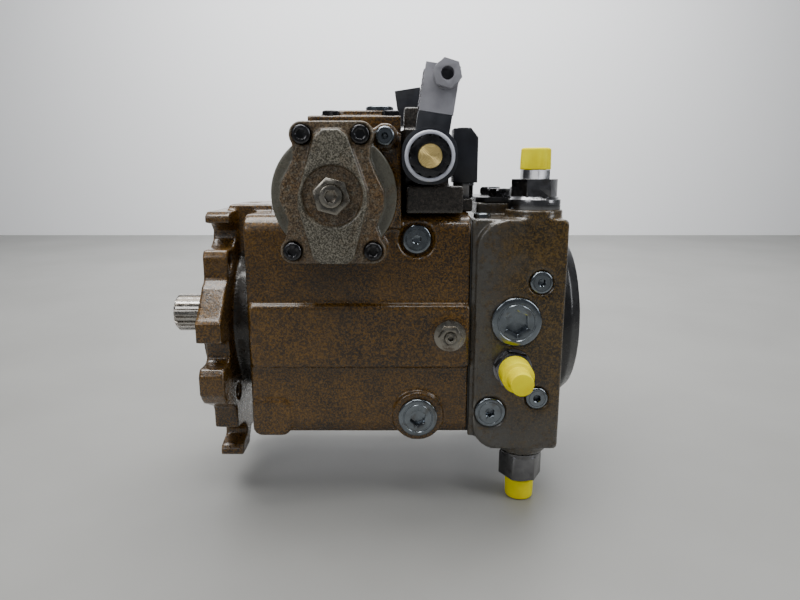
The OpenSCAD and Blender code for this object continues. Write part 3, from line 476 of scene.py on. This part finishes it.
def dress(piece, node, look=None):
    """Puts a piece in the place of a CAD node, with the node's body and slot, and the slot's look."""
    paint(piece, node, look)
    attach(piece, NODE_BODY[node])


def paint(piece, node, look=None):
    """Gives a piece the look and slot of the CAD node that it stands for."""
    piece.data.materials.clear()
    piece.data.materials.append(looks[look or NODE_SLOT[node]])
    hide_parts(node)


# ---------------------------------------------------------------- castings

def casting(node, name, voxel, rounds, additions=()):
    """Rounds a casting off: remeshed in small voxels, then smoothed a few times."""
    piece = joined(name, [node_bmesh(node), *additions])
    remesh = piece.modifiers.new("voxels", "REMESH")
    remesh.mode = "VOXEL"
    remesh.voxel_size = voxel
    smooth = piece.modifiers.new("rounding", "SMOOTH")
    smooth.factor = 0.5
    smooth.iterations = rounds
    settle(piece)
    piece.data.polygons.foreach_set("use_smooth", [True] * len(piece.data.polygons))
    dress(piece, node)


def edged(node, name, width=0.4 * MM, segments=2, look=None, additions=()):
    """A copy of a CAD node whose sharp edges are broken by a small bevel."""
    bm = node_bmesh(node)
    bmesh.ops.dissolve_limit(bm, angle_limit=1 * DEG, verts=bm.verts, edges=bm.edges)
    piece = joined(name, [bm, *additions])
    bevel = piece.modifiers.new("edges", "BEVEL")
    bevel.width = width
    bevel.segments = segments
    bevel.limit_method = "ANGLE"
    bevel.angle_limit = 40 * DEG
    bevel.use_clamp_overlap = True
    settle(piece)
    bm = bmesh.new()
    bm.from_mesh(piece.data)
    sharpen(bm, 40)
    bm.to_mesh(piece.data)
    bm.free()
    dress(piece, node, look)


def slab(low, high):
    """A plain box between two corners."""
    bm = bmesh.new()
    bmesh.ops.create_cube(bm, size=1)
    size = Vector(high) - Vector(low)
    bm.transform(Matrix.Translation((Vector(low) + Vector(high)) / 2) @ Matrix.Diagonal((*size, 1)))
    return bm


def valve_seam():
    """The joint face that closes the slit between the control block and the valve body."""
    block_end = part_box("control_block")[1][0]
    low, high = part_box("valve_body")
    nose = 22 * MM
    tower = 20 * MM
    return slab((block_end - 0.3 * MM, low[1] + nose, low[2] + 1 * MM),
                (low[0] + 2 * MM, high[1] - 2 * MM, high[2] - tower))


def gland_collar():
    """Round collar between the connector plug and the hexagon of its cable gland."""
    low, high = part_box("cable_gland")
    radius = (high[0] - low[0]) / 2
    inner, thick = 0.6 * radius, 2.4 * MM
    bm = turned([(inner, -thick), (inner, 0), (radius - 0.4 * MM, 0), (radius, -0.4 * MM),
                 (radius, -thick), (inner, -thick)], 64)
    bmesh.ops.remove_doubles(bm, verts=bm.verts, dist=1e-6)
    plug_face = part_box("din_plug_front")[0][1]
    middle = Vector(((low[0] + high[0]) / 2, plug_face - thick, (low[2] + high[2]) / 2))
    stand(bm, middle, FRONT)
    return bm


def springs(node, ends):
    """Coil springs, each cut to its half on one side of the shaft plane and made a piece of its own.
    ends holds, for each spring, its side of the shaft plane, its name and the node that it pushes on, which
    is not used."""
    for side, name, follower in ends:
        bm = node_bmesh(node)
        away = [v for v in bm.verts if v.co.y * side < 0]
        bmesh.ops.delete(bm, geom=away, context="VERTS")
        sharpen(bm, 60)
        piece = to_object(name, bm)
        paint(piece, node)
        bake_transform(piece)


# ---------------------------------------------------------------- screws, plugs, nuts

def facing(low, high):
    """Which way a screw or plug faces, its outer face's centre, head radius and whole length."""
    size = high - low
    middle = (low + high) / 2
    axis = min(range(3), key=lambda i: abs(size[(i + 1) % 3] - size[(i + 2) % 3]))
    sign = -1 if axis > 0 and middle[axis] < 0 else 1
    outward = Vector([sign if i == axis else 0 for i in range(3)])
    face = middle.copy()
    face[axis] = high[axis] if sign > 0 else low[axis]
    return outward, face, size[(axis + 1) % 3] / 2, size[axis]


def socket_screw(low, high):
    """Cap screw with a knurled head and a hexagon socket."""
    outward, face, head, length = facing(low, high)
    head_h = head * 1.22
    chamfer = 0.09 * head
    shank = head * 0.6
    flats = head * 0.95
    profile = [(0, -0.55 * head_h), (flats, -0.5 * head_h, flats), (flats, -0.06 * head_h, flats),
               (flats * 0.64, 0), (head - 2.2 * chamfer, 0), (head - chamfer, -0.35 * chamfer),
               (head, -1.2 * chamfer, "knurl"), (head, -head_h + chamfer, "knurl"), (head - chamfer, -head_h),
               (shank, -head_h), (shank, -length + shank / 3), (shank * 0.8, -length), (0, -length)]
    bm = turned(profile, knurl=0.035 * head, turn=0.4)
    stand(bm, face, outward)
    return bm


def flat_plug(low, high, flats_ratio, shank_ratio=0.75):
    """Screw plug: chamfered flat head with a turned groove and a hexagon socket."""
    outward, face, head, length = facing(low, high)
    head_h = 3.5 * MM
    flats = head * flats_ratio
    shank = head * shank_ratio
    profile = [(0, -8 * MM), (flats, -7 * MM, flats), (flats, -0.4 * MM, flats), (flats * 0.585, 0),
               (head * 0.70, 0), (head * 0.72, -0.35 * MM), (head * 0.76, -0.35 * MM), (head * 0.78, 0),
               (head - 1.2 * MM, 0), (head - 0.5 * MM, -0.25 * MM), (head, -0.9 * MM), (head, -head_h),
               (shank, -head_h), (shank, -length + 1 * MM), (shank - 1 * MM, -length), (0, -length)]
    bm = turned(profile, turn=0.35 + 3 * face[0])
    stand(bm, face, outward)
    return bm


def socket_ratio(low, high):
    """Socket across flats over head radius: the small port plugs have the narrower sockets."""
    head = facing(low, high)[2]
    if head > 14 * MM:
        return 0.75
    return 0.55 if head > 10.5 * MM else 0.62


def hex_bolt(low, high):
    """Hexagon-head bolt with a raised chamfered top and a washer face."""
    length = high[2] - low[2]
    outward = Vector((0, 0, 1 if high[2] > 0 else -1))
    face = (low + high) / 2
    face[2] = high[2] if outward[2] > 0 else low[2]
    flats, shank, head_h = 18 * MM, 6 * MM, 7 * MM
    corner = flats / math.sqrt(3)
    profile = [(0, -0.5 * MM), (5.5 * MM, -0.5 * MM), (6.2 * MM, 0), (flats * 0.48, 0),
               (corner, -1.7 * MM, flats), (corner, -6.2 * MM, flats), (flats * 0.5, -6.6 * MM),
               (flats * 0.5, -head_h), (shank, -head_h), (shank, -length), (0, -length)]
    bm = turned(profile, turn=face[0] * 90 + face[1] * 20)
    stand(bm, face, outward)
    return bm


def make_fasteners():
    """All screws, plugs and bolts, each turned again in the place of its CAD solid."""
    dress(joined("cap_screws", [socket_screw(*box) for box in islands("socket_screws")]), "socket_screws")
    plugs = [flat_plug(*box, flats_ratio=socket_ratio(*box)) for box in islands("blanking_plugs")]
    dress(joined("zinc_plugs", plugs), "blanking_plugs")
    dress(joined("cover_bolts", [hex_bolt(*box) for box in islands("port_cover_bolts")]), "port_cover_bolts")
    plugs = [flat_plug(*box, flats_ratio=0.86, shank_ratio=0.69) for box in islands("relief_plugs")]
    dress(joined("relief_valve_plugs", plugs), "relief_plugs")


# ---------------------------------------------------------------- stage and light

def panel(name, half, look):
    """A flat square sheet around the origin."""
    bm = bmesh.new()
    bmesh.ops.create_grid(bm, x_segments=1, y_segments=1, size=half)
    sheet = to_object(name, bm)
    sheet.data.materials.append(look.material)
    return sheet


def make_floor():
    """Pale floor that the pump's lowest cap stands on, and a paler wall behind."""
    look = Look("pale_floor")
    cloud = look.span(look.noise(3, 4), 0.3, 0.7)
    look.color(look.mix(cloud, (0.25, 0.25, 0.24), (0.285, 0.285, 0.275)))
    look.roughness(0.45)
    floor = panel("floor", 4, look)
    floor.location = (0.16, 1.2, cad_box[0][2] - 0.5 * MM)
    wall_look = Look("pale_wall")
    wall_look.color(wall_look.mix(wall_look.noise(1), (0.86, 0.87, 0.89), (0.90, 0.91, 0.93)))
    wall = panel("wall", 6, wall_look)
    wall.rotation_euler = (90 * DEG, 0, 0)
    wall.location = (0.16, 2.2, 0)


def area_light(name, place, target, size, power, tint=(1, 1, 1)):
    """A rectangular lamp at place that shines at target; power is in watts."""
    data = bpy.data.lights.new(name, "AREA")
    data.shape = "RECTANGLE"
    data.size, data.size_y = size
    data.energy = power
    data.color = tint
    light = bpy.data.objects.new(name, data)
    light.location = place
    light.rotation_euler = (Vector(target) - Vector(place)).to_track_quat("-Z", "Y").to_euler()
    bpy.context.scene.collection.objects.link(light)


def make_light():
    """Soft light from above, weaker fills from the front, and a wash on the wall."""
    middle = (0.15, 0, 0)
    warm, cool = (1, 0.99, 0.97), (0.95, 0.97, 1)
    area_light("ceiling", (0.05, 0.22, 1.5), middle, (1.8, 0.8), 44, warm)
    area_light("ceiling_strip", (-0.15, -0.6, 1.5), middle, (1.8, 0.16), 12, warm)
    area_light("front_fill", (-0.9, -1.5, 1.0), middle, (0.7, 0.7), 7)
    area_light("right_fill", (1.3, -0.5, 0.7), middle, (0.4, 1.0), 7, cool)
    area_light("wall_wash", (0.16, 1.1, 1.3), (0.16, 2.2, 0.3), (2.4, 0.5), 46)
    world = bpy.data.worlds.new("studio")
    world.use_nodes = True
    background = world.node_tree.nodes["Background"]
    background.inputs["Color"].default_value = (0.84, 0.87, 0.92, 1)
    background.inputs["Strength"].default_value = 0.16
    bpy.context.scene.world = world


# ---------------------------------------------------------------- building

make_camera()
make_floor()
make_light()
looks.update(make_looks())

casting("housing", "housing_casting", 1.4 * MM, 6)
casting("port_plate", "port_plate_casting", 1.4 * MM, 5)
casting("control_block", "control_block_casting", 1.2 * MM, 5)
casting("valve_body", "valve_body_casting", 1.2 * MM, 5, additions=[valve_seam()])
casting("servo_cover_front", "stroking_cover_front", 0.9 * MM, 6)
casting("servo_cover_rear", "stroking_cover_rear", 0.9 * MM, 6)
casting("boost_cover", "boost_pump_cover", 1.2 * MM, 5)
make_fasteners()
for cad_node, piece_name in (("port_covers", "port_cover_plates"), ("solenoid_coils", "coils"),
                             ("cutoff_coil", "small_coil"), ("cutoff_cartridge", "cartridge"),
                             ("coil_rings", "pale_rings"), ("coil_nuts", "knurled_nuts"),
                             ("front_fitting", "fitting_front"), ("top_fitting", "fitting_top"),
                             ("bottom_fitting", "fitting_bottom")):
    edged(cad_node, piece_name)
for cad_node, piece_name in (("din_plug_front", "grey_plug"), ("din_plug_rear", "black_plug"),
                             ("front_cap", "yellow_cap_front"), ("top_cap", "yellow_cap_top"),
                             ("bottom_cap", "yellow_cap_bottom")):
    edged(cad_node, piece_name, 0.8 * MM, 3)
edged("cable_gland", "gland", 0.6 * MM, 2, additions=[gland_collar()])
edged("adjuster_screws", "adjusters", look="worn_steel")
edged("adjuster_locknuts", "locknuts", look="worn_steel")
springs("centring_springs", ((-1, "centring_spring_front", "servo_piston"),
                             (1, "centring_spring_rear", "servo_piston")))
springs("relief_springs", ((-1, "relief_spring_front", "relief_poppet_front"),
                           (1, "relief_spring_rear", "relief_poppet_rear")))

for cad_node, cad_object in frame["nodes"].items():
    cad_object.data.materials.clear()
    cad_object.data.materials.append(looks[NODE_SLOT[cad_node]])
